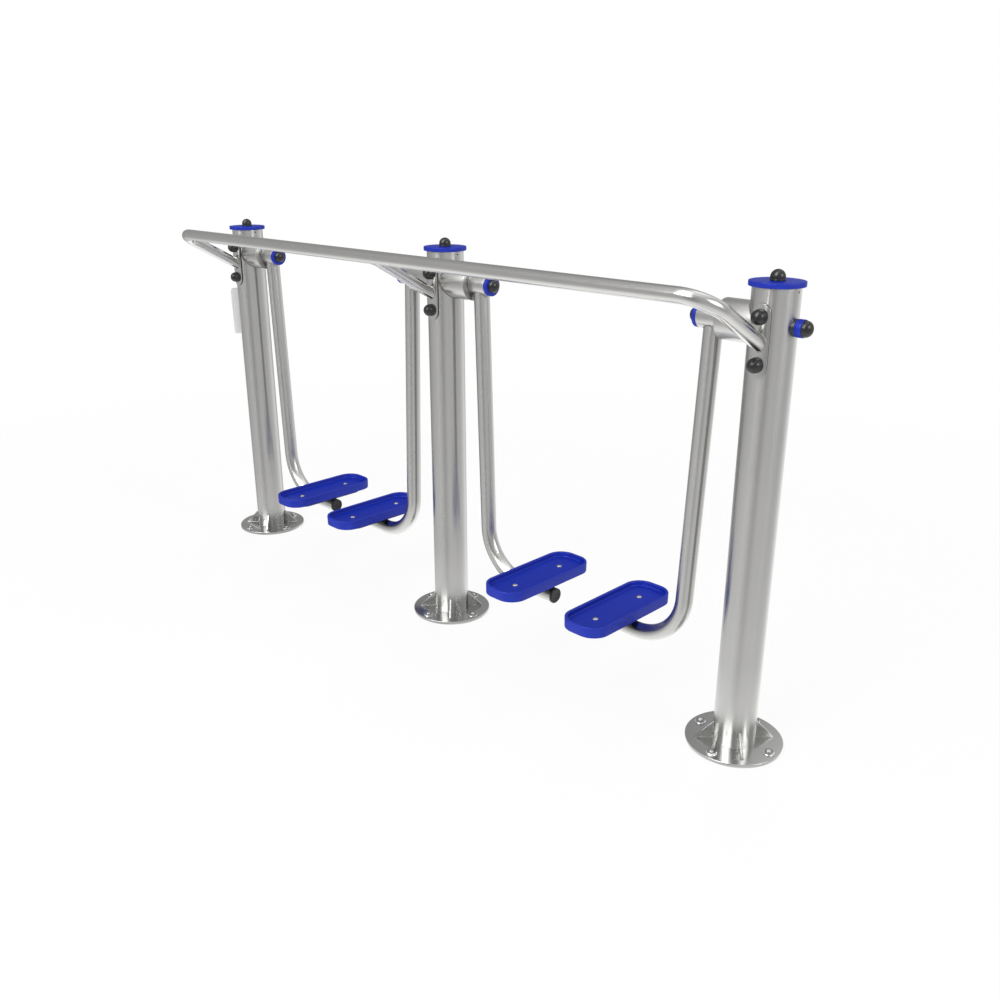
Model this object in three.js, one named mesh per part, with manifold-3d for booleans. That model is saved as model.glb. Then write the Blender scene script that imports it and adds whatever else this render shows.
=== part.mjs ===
import * as THREE from 'three';
import { mergeVertices } from 'three/addons/utils/BufferGeometryUtils.js';
import Module from 'manifold-3d';

const wasm = await Module();
wasm.setup();

// Lengths in millimetres. Floor at z = 0, row of posts along X, handrail on the -Y side.

// Fits
const fitGap = 0.3; // free space round every part that is welded, seated or turns in another
const runGap = 0.6; // free space round the hub where it turns in the seal
const cutOverrun = 4; // how far a cut runs past the face it opens
const joinDepth = 1.5; // how far a welded piece is sunk into its neighbour
const weldTolerance = 0.001;

// Posts
const postRadius = 57.15;
const postWall = 3;
const postTop = 1227;
const ventDrop = 9.3; // drain and set screw hole, below the post's top edge
const ventRadius = 3.2;

// Base flanges
const flangeRadius = 131.7;
const flangeThickness = 10;
const flangeEdge = 1;
const anchorCircle = 108;
const anchorHoleRadius = 7;
const gussetReach = 107;
const gussetTop = 60;
const gussetNose = 3;
const gussetThickness = 6;

// Post caps
const capRadius = 66.3;
const capThickness = 12;
const capEdge = 1.2;
const spigotDepth = 20;
const spigotWall = 4;

// Domed bolt covers
const stemRadius = 6;
const coverRadius = 18.6;
const coverSkirt = 8;
const coverHeight = 26;
const capStem = 16;
const plateStem = 30;
const endDomeRadius = 20;
const endDomeSkirt = 4;
const endDomeHeight = 19.6;
const hubStem = 17;

// Bearing housings and axles
const pivotDrop = 90.5; // pivot axis below the post's top edge
const housingRadius = 50.8;
const housingWall = 3;
const housingReach = 132;
const housingRoot = 20; // start of the tube before it is cut to the post
const sealRecess = 1.2;
const sealLength = 18;
const axleRadius = 15;
const axleChamfer = 1.5;
const axleBore = 24;
const collarRadius = 21.5;
const collarStart = 63.2;
const collarLength = 17.4;
const collarEdge = 1;
const saddleWasherRadius = 21;
const saddleWasherRoot = 45;

// Hubs
const hubRadius = 30.15;
const hubStart = 66;
const hubEnd = 198;
const hubRelief = 24;
const hubLand = 24; // length of each bushing land in the hub
const hubLandTaper = 6;
const hubCapThickness = 11.5;
const hubCapEdge = 1;
const hubCapSpigot = 8;
const axleEndGap = 2; // free space between an axle's end and the cap's spigot

// Swing arms
const armRadius = 24.15;
const armWall = 3;
const armAxisReach = 161.5;
const armLean = 0.0355; // outward slope of the leg
const armBendRadius = 155;
const armFootReach = 481;
const armFootGap = 171; // free space between the two feet of a bay
const bracketSink = 1.65; // how deep the pedal bracket is seated in the leg
const armRootCut = 27.5; // arm tube is cut back to this radius inside the hub wall
const plugHead = 6;
const plugEdge = 1;
const plugSpigot = 16;
const plugGap = 1.3; // free space round the spigot in the leg's bore

// Pedals
const pedalSetback = 68.7; // pedal centre back from the end of the leg
const pedalShift = 5; // pedal centre sits this far towards the handrail
const pedalWidth = 144;
const pedalLength = 377.5;
const pedalCorner = 55.5;
const pedalBottom = 242.5;
const pedalHeight = 31.1;
const deckDrop = 15.1;
const rimWidth = 9.4;
const rimRound = 2.6;
const deckFillet = 3.5;
const wallDraft = 1.6;
const pedalFoot = 1.2;
const deckThickness = 5;
const skirtWall = 5;
const ribThickness = 5;
const ribCorner = 1;
const pocketCorner = 50;
const screwReach = 102;
const screwHoleRadius = 4.4;
const screwBossRadius = 13;
const bracketWidth = 116;
const bracketLength = 270;
const bracketThickness = 9;
const bracketCorner = 26;

// Handrail
const railRadius = 19;
const railWall = 2.5;
const railBendRadius = 78;
const railFootReach = 45;
const railForward = 238; // from the foot of a rail leg to the rail
const railRise = 133;
const railDomeGap = 3.9; // free space between a rail leg and the cover above it
const railLowerGap = 12.8; // the same for the cover below it
const strutRadius = 17.5;
const strutWall = 2.5;

// Saddle plates
const saddleThickness = 5;
const saddleWidth = 51;
const saddleDrop = 34; // plate's upper end below the post's top edge
const saddleBoltInset = 31; // bolts in from the plate's ends

// Facets
const wideFacets = 32;
const tubeFacets = 16;
const boreFacets = 10;
const hubFacets = 18;
const smallFacets = 8;
const domeFacets = 12;
const domeSteps = 3;
const bendSteps = 6;
const railBendSteps = 6;
const cornerSteps = 5;
const rimStepShares = [0.3, 1];

const steel = { color: 0xb8bbbe, roughness: 0.32, metalness: 1 };
const steelPlate = { color: 0xa9acaf, roughness: 0.18, metalness: 1 };
const axleSteel = { color: 0x8d9094, roughness: 0.25, metalness: 1 };
const bluePlastic = { color: 0x2c39a4, roughness: 0.42, metalness: 0 };
const blackPlastic = { color: 0x2b2b2d, roughness: 0.45, metalness: 0 };
const sealRubber = { color: 0x1f2022, roughness: 0.7, metalness: 0 };

// Sizes that follow from the ones above
const postBore = postRadius - postWall;
const postLength = postTop - flangeThickness;
const postSeat = postRadius + fitGap;
const axleSeat = axleRadius + fitGap;
const stemSeat = stemRadius + fitGap;
const housingBore = housingRadius - housingWall;
const collarEnd = collarStart + collarLength;
const axleReach = hubEnd - hubCapSpigot - axleEndGap;
const armBore = armRadius - armWall;
const postSpacing = 2 * (armFootReach + plugHead) + armFootGap;
const pivotHeight = postTop - pivotDrop;
const pedalReach = armFootReach - pedalSetback;
const pedalTop = pedalBottom + pedalHeight;
const armFootHeight = pedalBottom - bracketThickness + bracketSink - armRadius;
const armDrop = pivotHeight - armFootHeight;
const saddleRadius = postSeat + saddleThickness;
const saddleSeat = saddleRadius + fitGap;
const railSlope = Math.atan2(railRise, railForward);
const railRun = Math.hypot(railRise, railForward);
const legHalfHeight = railRadius / Math.cos(railSlope);
const legRiseAtPlate = (saddleSeat - railFootReach) * Math.tan(railSlope);
const legRiseAtDome = (saddleSeat + coverHeight - railFootReach) * Math.tan(railSlope);
const saddleTop = postTop - saddleDrop;
const saddleBoltHigh = saddleTop - saddleBoltInset;
const railFootHeight = saddleBoltHigh - coverRadius - railDomeGap - legHalfHeight - legRiseAtDome;
const railHeight = railFootHeight + railRise;
const saddleBoltLow = railFootHeight + legRiseAtPlate - legHalfHeight - railLowerGap - coverRadius;
const saddleBottom = saddleBoltLow - saddleBoltInset;

function point(a, b) {
  return new THREE.Vector2(a, b);
}

// Turned piece about Z
function turned(profile, facets) {
  const geometry = new THREE.LatheGeometry(profile, facets);
  geometry.rotateX(Math.PI / 2);
  return geometry;
}

// Turned piece about X, profile heights counted along +X
function turnedAlongX(profile, facets) {
  const geometry = new THREE.LatheGeometry(profile, facets);
  geometry.rotateZ(-Math.PI / 2);
  return geometry;
}

function rodProfile(radius, start, end) {
  return [point(0, start), point(radius, start), point(radius, end), point(0, end)];
}

function ringProfile(outer, inner, start, end) {
  return [
    point(inner, start),
    point(outer, start),
    point(outer, end),
    point(inner, end),
    point(inner, start),
  ];
}

// Low dome on a straight skirt, with a stem below its seat where one is asked for
function domeProfile(radius, skirt, height, stem) {
  const foot = stem > 0 ? [point(0, -stem), point(stemRadius, -stem), point(stemRadius, 0)] : [point(0, 0)];
  const profile = [...foot, point(radius, 0)];
  for (let step = 0; step <= domeSteps; step += 1) {
    const angle = (step / domeSteps) * (Math.PI / 2);
    const reach = step === domeSteps ? 0 : radius * Math.cos(angle);
    profile.push(point(reach, skirt + (height - skirt) * Math.sin(angle)));
  }
  return profile;
}

function toSolid(geometry) {
  const bare = geometry.clone();
  bare.deleteAttribute('normal');
  bare.deleteAttribute('uv');
  const merged = mergeVertices(bare, weldTolerance);
  const corners = merged.index.array;
  const triangles = [];
  for (let i = 0; i < corners.length; i += 3) {
    const [a, b, c] = [corners[i], corners[i + 1], corners[i + 2]];
    if (a !== b && b !== c && c !== a) {
      triangles.push(a, b, c);
    }
  }
  return new wasm.Manifold(new wasm.Mesh({
    numProp: 3,
    vertProperties: new Float32Array(merged.getAttribute('position').array),
    triVerts: new Uint32Array(triangles),
  }));
}

function toGeometry(solid) {
  const mesh = solid.getMesh();
  const geometry = new THREE.BufferGeometry();
  geometry.setAttribute('position', new THREE.BufferAttribute(mesh.vertProperties, 3));
  geometry.setIndex(new THREE.BufferAttribute(mesh.triVerts, 1));
  geometry.computeVertexNormals();
  return geometry;
}

// Upright round cutter that clears a post or a saddle plate
function uprightCutter(radius, bottom, top) {
  return toSolid(turned(rodProfile(radius, bottom, top), wideFacets));
}

function rodAlongX(radius, start, end, facets) {
  return toSolid(turnedAlongX(rodProfile(radius, start, end), facets));
}

// Rod towards -Y, from one distance in front of the post's axis to another
function rodForward(radius, start, end, height) {
  const rod = turned(rodProfile(radius, start, end), smallFacets);
  rod.rotateX(Math.PI / 2);
  rod.translate(0, 0, height);
  return toSolid(rod);
}

function circleShape(radius, facets) {
  const shape = new THREE.Shape();
  for (let i = 0; i < facets; i += 1) {
    const angle = (i / facets) * Math.PI * 2;
    const corner = point(radius * Math.cos(angle), radius * Math.sin(angle));
    if (i === 0) {
      shape.moveTo(corner.x, corner.y);
    } else {
      shape.lineTo(corner.x, corner.y);
    }
  }
  shape.closePath();
  return shape;
}

function roundedOutline(width, length, corner) {
  const outline = [];
  const halfWidth = width / 2 - corner;
  const halfLength = length / 2 - corner;
  const quarters = [[1, 1], [-1, 1], [-1, -1], [1, -1]];
  quarters.forEach(([sideX, sideY], quarter) => {
    for (let step = 0; step <= cornerSteps; step += 1) {
      const angle = (quarter + step / cornerSteps) * (Math.PI / 2);
      outline.push(point(
        sideX * halfWidth + corner * Math.cos(angle),
        sideY * halfLength + corner * Math.sin(angle),
      ));
    }
  });
  return outline;
}

function extrudedUp(outline, bottom, top) {
  const geometry = new THREE.ExtrudeGeometry(new THREE.Shape(outline), {
    depth: top - bottom,
    bevelEnabled: false,
  });
  geometry.translate(0, 0, bottom);
  return toSolid(geometry);
}

// Centreline made of listed stations, each with its own direction
class StationPath extends THREE.Curve {
  constructor(stations, directions) {
    super();
    this.stations = stations;
    this.directions = directions;
  }

  getPointAt(share) {
    return this.stations[Math.round(share * (this.stations.length - 1))].clone();
  }

  getTangentAt(share) {
    return this.directions[Math.round(share * (this.stations.length - 1))].clone();
  }
}

// Stations from start to end with a round bend of the given radius at each corner between them
function bentPath(corners, radius, steps) {
  const stations = [corners[0].clone()];
  const directions = [corners[1].clone().sub(corners[0]).normalize()];
  for (let i = 1; i < corners.length - 1; i += 1) {
    const before = corners[i].clone().sub(corners[i - 1]).normalize();
    const after = corners[i + 1].clone().sub(corners[i]).normalize();
    const turn = before.angleTo(after);
    const inward = after.clone().sub(before).normalize();
    const centre = corners[i].clone().addScaledVector(inward, radius / Math.cos(turn / 2));
    for (let step = 0; step <= steps; step += 1) {
      const angle = (step / steps - 1 / 2) * turn;
      const along = after.clone().add(before).normalize();
      const station = centre.clone();
      station.addScaledVector(inward, -radius * Math.cos(angle));
      station.addScaledVector(along, radius * Math.sin(angle));
      stations.push(station);
      const direction = along.clone().multiplyScalar(Math.cos(angle));
      directions.push(direction.addScaledVector(inward, Math.sin(angle)));
    }
  }
  const last = corners.length - 1;
  stations.push(corners[last].clone());
  directions.push(corners[last].clone().sub(corners[last - 1]).normalize());
  return new StationPath(stations, directions);
}

function bentRod(path, radius, facets) {
  return toSolid(new THREE.ExtrudeGeometry(circleShape(radius, facets), {
    steps: path.stations.length - 1,
    extrudePath: path,
  }));
}

function makePost() {
  const wall = toSolid(turned(ringProfile(postRadius, postBore, 0, postLength), wideFacets));
  const span = postRadius + cutOverrun;
  const axleHole = rodAlongX(axleSeat, -span, span, tubeFacets)
    .translate([0, 0, pivotHeight - flangeThickness]);
  const vent = rodAlongX(ventRadius, postBore - cutOverrun, span, smallFacets)
    .translate([0, 0, postLength - ventDrop]);
  let post = wall.subtract(axleHole).subtract(vent);
  for (const height of [saddleBoltLow, saddleBoltHigh]) {
    post = post.subtract(rodForward(stemSeat, postBore - cutOverrun, span, height - flangeThickness));
  }
  return toGeometry(post);
}

function makeGusset() {
  const outline = [
    point(postSeat, flangeThickness - joinDepth),
    point(gussetReach, flangeThickness - joinDepth),
    point(gussetReach, flangeThickness + gussetNose),
    point(postSeat + gussetNose, gussetTop),
    point(postSeat, gussetTop),
  ];
  const gusset = new THREE.ExtrudeGeometry(new THREE.Shape(outline), {
    depth: gussetThickness,
    bevelEnabled: false,
  });
  gusset.rotateX(Math.PI / 2);
  gusset.translate(0, gussetThickness / 2, 0);
  return gusset;
}

function makeFlange() {
  const disc = [
    point(0, 0),
    point(flangeRadius, 0),
    point(flangeRadius, flangeThickness - flangeEdge),
    point(flangeRadius - flangeEdge, flangeThickness),
    point(0, flangeThickness),
  ];
  let flange = toSolid(turned(disc, wideFacets));
  for (let quarter = 0; quarter < 4; quarter += 1) {
    const high = flangeThickness + cutOverrun;
    const hole = turned(rodProfile(anchorHoleRadius, -cutOverrun, high), smallFacets);
    hole.translate(anchorCircle, 0, 0);
    hole.rotateZ(quarter * (Math.PI / 2));
    flange = flange.subtract(toSolid(hole));
    const gusset = makeGusset();
    gusset.rotateZ((quarter + 1 / 2) * (Math.PI / 2));
    flange = flange.add(toSolid(gusset));
  }
  return toGeometry(flange);
}

function makePostCap() {
  const spigotOuter = postBore - fitGap;
  const profile = [
    point(stemSeat, 0),
    point(spigotOuter - spigotWall, 0),
    point(spigotOuter - spigotWall, -spigotDepth),
    point(spigotOuter, -spigotDepth),
    point(spigotOuter, 0),
    point(capRadius, 0),
    point(capRadius, capThickness - capEdge),
    point(capRadius - capEdge, capThickness),
    point(stemSeat, capThickness),
    point(stemSeat, 0),
  ];
  return turned(profile, wideFacets);
}

// Coped tube of one bearing, running out along +X from a post
function makeHousing() {
  const tube = toSolid(turnedAlongX(
    ringProfile(housingRadius, housingBore, housingRoot, housingReach),
    wideFacets,
  ));
  const span = housingRadius + cutOverrun;
  return toGeometry(tube.subtract(uprightCutter(postSeat, -span, span)));
}

function makeSeal() {
  const outer = housingBore - fitGap;
  const inner = hubRadius + runGap;
  const face = housingReach - sealRecess;
  return turnedAlongX([
    point(inner, face - sealLength),
    point(outer, face - sealLength),
    point(outer, face),
    point(inner, face - sealRecess),
    point(inner, face - sealLength),
  ], hubFacets);
}

// Axle through one of the end posts: the blind bore takes the stem of its outer dome
function makeEndAxle() {
  const start = fitGap - collarEnd;
  return turnedAlongX([
    point(0, start + axleBore),
    point(stemSeat, start + axleBore),
    point(stemSeat, start),
    point(axleRadius - axleChamfer, start),
    point(axleRadius, start + axleChamfer),
    point(axleRadius, axleReach - axleChamfer),
    point(axleRadius - axleChamfer, axleReach),
    point(0, axleReach),
  ], tubeFacets);
}

function makeThroughAxle() {
  return turnedAlongX([
    point(0, -axleReach),
    point(axleRadius - axleChamfer, -axleReach),
    point(axleRadius, axleChamfer - axleReach),
    point(axleRadius, axleReach - axleChamfer),
    point(axleRadius - axleChamfer, axleReach),
    point(0, axleReach),
  ], tubeFacets);
}

function makeSaddleWasher() {
  const ring = toSolid(turnedAlongX(
    ringProfile(saddleWasherRadius, axleSeat, saddleWasherRoot, collarStart),
    tubeFacets,
  ));
  const span = saddleWasherRadius + cutOverrun;
  return toGeometry(ring.subtract(uprightCutter(postSeat, -span, span)));
}

function makeCollar() {
  return turnedAlongX([
    point(axleSeat, collarStart),
    point(collarRadius, collarStart),
    point(collarRadius, collarEnd - collarEdge),
    point(collarRadius - collarEdge, collarEnd),
    point(axleSeat, collarEnd),
    point(axleSeat, collarStart),
  ], tubeFacets);
}

function makeSaddlePlate() {
  const bottom = saddleBottom + saddleWidth / 2;
  const top = saddleTop - saddleWidth / 2;
  const outline = [];
  const count = cornerSteps * 2;
  for (const [centre, turn] of [[top, 0], [bottom, Math.PI]]) {
    for (let step = 0; step <= count; step += 1) {
      const angle = turn + (step / count) * Math.PI;
      const across = (saddleWidth / 2) * Math.cos(angle);
      outline.push(point(across, centre + (saddleWidth / 2) * Math.sin(angle)));
    }
  }
  const blank = new THREE.ExtrudeGeometry(new THREE.Shape(outline), {
    depth: saddleRadius + cutOverrun,
    bevelEnabled: false,
  });
  blank.rotateX(Math.PI / 2);
  const low = saddleBottom - cutOverrun;
  const high = saddleTop + cutOverrun;
  let plate = toSolid(blank).intersect(uprightCutter(saddleRadius, low, high));
  plate = plate.subtract(uprightCutter(postSeat, low, high));
  const face = saddleRadius + cutOverrun;
  for (const height of [saddleBoltLow, saddleBoltHigh]) {
    plate = plate.subtract(rodForward(stemSeat, postRadius - cutOverrun, face, height));
  }
  return toGeometry(plate);
}

// Domed cover shaped to the saddle plate it sits on, pointing to -Y
function makePlateDome() {
  const seat = saddleRadius - cutOverrun;
  const profile = domeProfile(coverRadius, coverSkirt + cutOverrun, coverHeight + cutOverrun, 0);
  const head = turned(profile, domeFacets);
  head.rotateX(Math.PI / 2);
  head.translate(0, -seat, 0);
  const span = coverRadius + cutOverrun;
  const coped = toSolid(head).subtract(uprightCutter(saddleSeat, -span, span));
  return toGeometry(coped.add(rodForward(stemRadius, saddleSeat - plateStem, saddleSeat + joinDepth, 0)));
}

function makeHandrail() {
  const corners = [
    new THREE.Vector3(-postSpacing, 0, 0),
    new THREE.Vector3(-postSpacing, railRun, 0),
    new THREE.Vector3(postSpacing, railRun, 0),
    new THREE.Vector3(postSpacing, 0, 0),
  ];
  const path = bentPath(corners, railBendRadius, railBendSteps);
  const inner = bentPath(openEnds(corners), railBendRadius, railBendSteps);
  const bore = bentRod(inner, railRadius - railWall, boreFacets);
  let rail = tiltToRail(bentRod(path, railRadius, tubeFacets).subtract(bore));
  for (const side of [-1, 1]) {
    const cutter = uprightCutter(saddleSeat, saddleBottom, railHeight);
    rail = rail.subtract(cutter.translate([side * postSpacing, 0, 0]));
  }
  return toGeometry(rail);
}

// Corners with both ends moved outwards, for a bore that opens both ends of a tube
function openEnds(corners) {
  const last = corners.length - 1;
  const moved = corners.map((corner) => corner.clone());
  moved[0].addScaledVector(corners[0].clone().sub(corners[1]).normalize(), cutOverrun);
  moved[last].addScaledVector(corners[last].clone().sub(corners[last - 1]).normalize(), cutOverrun);
  return moved;
}

// From the rail's own plane to its place: rising forwards from the posts
function tiltToRail(solid) {
  return solid
    .rotate([THREE.MathUtils.radToDeg(Math.PI - railSlope), 0, 0])
    .translate([0, -railFootReach, railFootHeight]);
}

function makeStrut() {
  const outer = turned(rodProfile(strutRadius, 0, railRun), tubeFacets);
  const inner = turned(rodProfile(strutRadius - strutWall, -cutOverrun, railRun + cutOverrun), boreFacets);
  outer.rotateX(-Math.PI / 2);
  inner.rotateX(-Math.PI / 2);
  let strut = toSolid(outer).subtract(toSolid(inner));
  const span = strutRadius + cutOverrun;
  const cope = rodAlongX(railRadius + fitGap, -span, span, tubeFacets);
  strut = tiltToRail(strut.subtract(cope.translate([0, railRun, 0])));
  return toGeometry(strut.subtract(uprightCutter(saddleSeat, saddleBottom, railHeight)));
}

function makeHubCap() {
  const spigot = axleSeat - fitGap;
  return turnedAlongX([
    point(stemSeat, hubEnd - hubCapSpigot),
    point(spigot, hubEnd - hubCapSpigot),
    point(spigot, hubEnd),
    point(hubRadius, hubEnd),
    point(hubRadius, hubEnd + hubCapThickness - hubCapEdge),
    point(hubRadius - hubCapEdge, hubEnd + hubCapThickness),
    point(stemSeat, hubEnd + hubCapThickness),
    point(stemSeat, hubEnd - hubCapSpigot),
  ], hubFacets);
}

function makeEndDome(stem) {
  return turnedAlongX(domeProfile(endDomeRadius, endDomeSkirt, endDomeHeight, stem), domeFacets);
}

function makeHub() {
  return toSolid(turnedAlongX([
    point(axleSeat, hubStart),
    point(hubRadius, hubStart),
    point(hubRadius, hubEnd),
    point(axleSeat, hubEnd),
    point(axleSeat, hubEnd - hubLand),
    point(hubRelief, hubEnd - hubLand - hubLandTaper),
    point(hubRelief, hubStart + hubLand + hubLandTaper),
    point(axleSeat, hubStart + hubLand),
    point(axleSeat, hubStart),
  ], hubFacets));
}

// Hub, bent leg and pedal bracket welded into one, about the pivot axis
function makeSwingArm(shift) {
  const corners = [
    new THREE.Vector3(armAxisReach, 0, 0),
    new THREE.Vector3(armAxisReach + armLean * armDrop, 0, -armDrop),
    new THREE.Vector3(armFootReach, 0, -armDrop),
  ];
  const rod = bentRod(bentPath(corners, armBendRadius, bendSteps), armRadius, tubeFacets);
  const bore = bentRod(bentPath(openEnds(corners), armBendRadius, bendSteps), armBore, boreFacets);
  const leg = rod.subtract(bore)
    .subtract(rodAlongX(armRootCut, hubStart, armFootReach, hubFacets));
  const top = pedalBottom - pivotHeight;
  const plan = roundedOutline(bracketWidth, bracketLength, bracketCorner);
  let bracket = extrudedUp(plan, top - bracketThickness, top).translate([pedalReach, shift, 0]);
  for (const side of [-1, 1]) {
    const hole = toSolid(turned(
      rodProfile(screwHoleRadius, top - bracketThickness - cutOverrun, top + cutOverrun),
      smallFacets,
    ));
    bracket = bracket.subtract(hole.translate([pedalReach, shift + side * screwReach, 0]));
  }
  return toGeometry(makeHub().add(leg).add(bracket));
}

function makePlug() {
  return turnedAlongX([
    point(0, -plugSpigot),
    point(armBore - plugGap, -plugSpigot),
    point(armBore - plugGap, 0),
    point(armRadius, 0),
    point(armRadius, plugHead - plugEdge),
    point(armRadius - plugEdge, plugHead),
    point(0, plugHead),
  ], tubeFacets);
}

// Closed skin over a stack of outlines that all have the same number of points
function stackedSkin(levels) {
  const positions = [];
  const corners = [];
  const count = levels[0].outline.length;
  for (const { outline, height } of levels) {
    for (const corner of outline) {
      positions.push(corner.x, corner.y, height);
    }
  }
  for (let level = 0; level < levels.length - 1; level += 1) {
    for (let i = 0; i < count; i += 1) {
      const next = (i + 1) % count;
      const low = level * count;
      const high = low + count;
      corners.push(low + i, low + next, high + next);
      corners.push(low + i, high + next, high + i);
    }
  }
  const last = (levels.length - 1) * count;
  for (const [a, b, c] of THREE.ShapeUtils.triangulateShape(levels[0].outline, [])) {
    corners.push(a, c, b);
    corners.push(last + a, last + b, last + c);
  }
  const geometry = new THREE.BufferGeometry();
  geometry.setAttribute('position', new THREE.BufferAttribute(new Float32Array(positions), 3));
  geometry.setIndex(corners);
  return geometry;
}

function pedalLevel(inset, height) {
  return {
    outline: roundedOutline(pedalWidth - inset * 2, pedalLength - inset * 2, pedalCorner - inset),
    height,
  };
}

// Moulded foot tray: rolled rim, sunk deck, and ribs below with pads round the screws
function makePedal() {
  const deckHeight = pedalTop - deckDrop;
  const levels = [pedalLevel(pedalFoot, pedalBottom), pedalLevel(0, pedalBottom + pedalFoot)];
  levels.push(pedalLevel(0, pedalTop - rimRound));
  for (const share of rimStepShares) {
    const angle = share * (Math.PI / 2);
    const inset = rimRound * (1 - Math.cos(angle));
    levels.push(pedalLevel(inset, pedalTop - rimRound * (1 - Math.sin(angle))));
  }
  levels.push(pedalLevel(rimWidth - rimRound, pedalTop));
  levels.push(pedalLevel(rimWidth, pedalTop - rimRound));
  levels.push(pedalLevel(rimWidth + wallDraft, deckHeight + deckFillet));
  levels.push(pedalLevel(rimWidth + wallDraft + deckFillet, deckHeight));
  let pedal = toSolid(stackedSkin(levels));

  const roof = deckHeight - deckThickness;
  const ribBottom = pedalBottom - cutOverrun * 2;
  const ribTop = roof + cutOverrun;
  const mouth = pedalBottom - cutOverrun;
  const pocket = roundedOutline(pedalWidth - skirtWall * 2, pedalLength - skirtWall * 2, pocketCorner);
  let cavity = extrudedUp(pocket, mouth, roof);
  for (const side of [-1, 1]) {
    const boss = toSolid(turned(rodProfile(screwBossRadius, ribBottom, ribTop), smallFacets));
    cavity = cavity.subtract(boss.translate([0, side * screwReach, 0]));
    const hole = toSolid(turned(rodProfile(screwHoleRadius, mouth, pedalTop), smallFacets));
    pedal = pedal.subtract(hole.translate([0, side * screwReach, 0]));
  }
  const spine = roundedOutline(ribThickness, pedalLength, ribCorner);
  cavity = cavity.subtract(extrudedUp(spine, ribBottom, ribTop));
  for (const side of [-1, 0, 1]) {
    const crossRib = extrudedUp(roundedOutline(pedalWidth, ribThickness, ribCorner), ribBottom, ribTop);
    cavity = cavity.subtract(crossRib.translate([0, side * screwReach, 0]));
  }
  return toGeometry(pedal.subtract(cavity));
}

function mesh(name, geometry, look) {
  const part = new THREE.Mesh(geometry, new THREE.MeshStandardMaterial(look));
  part.name = name;
  return part;
}

function placed(object, x, y, z) {
  object.position.set(x, y, z);
  return object;
}

// One post with its flange, cap, saddle plate and covers
function postGroup(side) {
  const group = new THREE.Group();
  group.add(mesh(`base_flange_${side}`, makeFlange(), steelPlate));
  group.add(placed(mesh(`post_${side}`, makePost(), steel), 0, 0, flangeThickness));
  group.add(placed(mesh(`post_cap_${side}`, makePostCap(), bluePlastic), 0, 0, postTop));
  const crown = turned(domeProfile(coverRadius, coverSkirt, coverHeight, capStem), domeFacets);
  group.add(placed(mesh(`cap_dome_${side}`, crown, blackPlastic), 0, 0, postTop + capThickness));
  group.add(mesh(`saddle_plate_${side}`, makeSaddlePlate(), steel));
  const upper = mesh(`plate_dome_upper_${side}`, makePlateDome(), blackPlastic);
  const lower = mesh(`plate_dome_lower_${side}`, makePlateDome(), blackPlastic);
  group.add(placed(upper, 0, 0, saddleBoltHigh), placed(lower, 0, 0, saddleBoltLow));
  return group;
}

// Bearing and swing arm that run out along +X of their own group
function armGroup(name, shift) {
  const group = new THREE.Group();
  group.add(mesh(`bearing_housing_${name}`, makeHousing(), steel));
  group.add(mesh(`bearing_seal_${name}`, makeSeal(), sealRubber));
  group.add(mesh(`swing_arm_${name}`, makeSwingArm(shift), steel));
  group.add(mesh(`hub_cap_${name}`, makeHubCap(), bluePlastic));
  const dome = mesh(`hub_dome_${name}`, makeEndDome(hubStem), blackPlastic);
  group.add(placed(dome, hubEnd + hubCapThickness, 0, 0));
  group.add(placed(mesh(`arm_plug_${name}`, makePlug(), blackPlastic), armFootReach, 0, -armDrop));
  group.add(placed(mesh(`pedal_${name}`, makePedal(), bluePlastic), pedalReach, shift, -pivotHeight));
  return group;
}

// Axle of an end post: runs out along +X into the hub, held on the other side
function endAxleGroup(name) {
  const group = new THREE.Group();
  group.add(mesh(`axle_${name}`, makeEndAxle(), axleSteel));
  const outside = new THREE.Group();
  outside.add(mesh(`axle_washer_${name}`, makeSaddleWasher(), blackPlastic));
  outside.add(mesh(`axle_collar_${name}`, makeCollar(), bluePlastic));
  outside.add(placed(mesh(`axle_dome_${name}`, makeEndDome(hubStem), blackPlastic), collarEnd, 0, 0));
  outside.rotation.z = Math.PI;
  group.add(outside);
  return group;
}

const walker = new THREE.Group();
walker.name = 'outdoor_air_walker';
for (const [side, share] of [['left', -1], ['centre', 0], ['right', 1]]) {
  walker.add(placed(postGroup(side), share * postSpacing, 0, 0));
}
walker.add(mesh('handrail', makeHandrail(), steel));
walker.add(mesh('handrail_strut', makeStrut(), steel));
walker.add(placed(mesh('axle_centre', makeThroughAxle(), axleSteel), 0, 0, pivotHeight));
for (const [name, share, turn] of [
  ['left_outer', -1, 0],
  ['left_inner', 0, Math.PI],
  ['right_inner', 0, 0],
  ['right_outer', 1, Math.PI],
]) {
  const shift = turn === 0 ? -pedalShift : pedalShift;
  const arm = placed(armGroup(name, shift), share * postSpacing, 0, pivotHeight);
  arm.rotation.z = turn;
  walker.add(arm);
}
for (const [name, share, turn] of [['left', -1, 0], ['right', 1, Math.PI]]) {
  const axle = placed(endAxleGroup(name), share * postSpacing, 0, pivotHeight);
  axle.rotation.z = turn;
  walker.add(axle);
}

export default walker;
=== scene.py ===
from math import ceil, cos, pi, radians, sin, sqrt, tan

import bmesh
import bpy
from mathutils import Matrix, Vector


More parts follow.
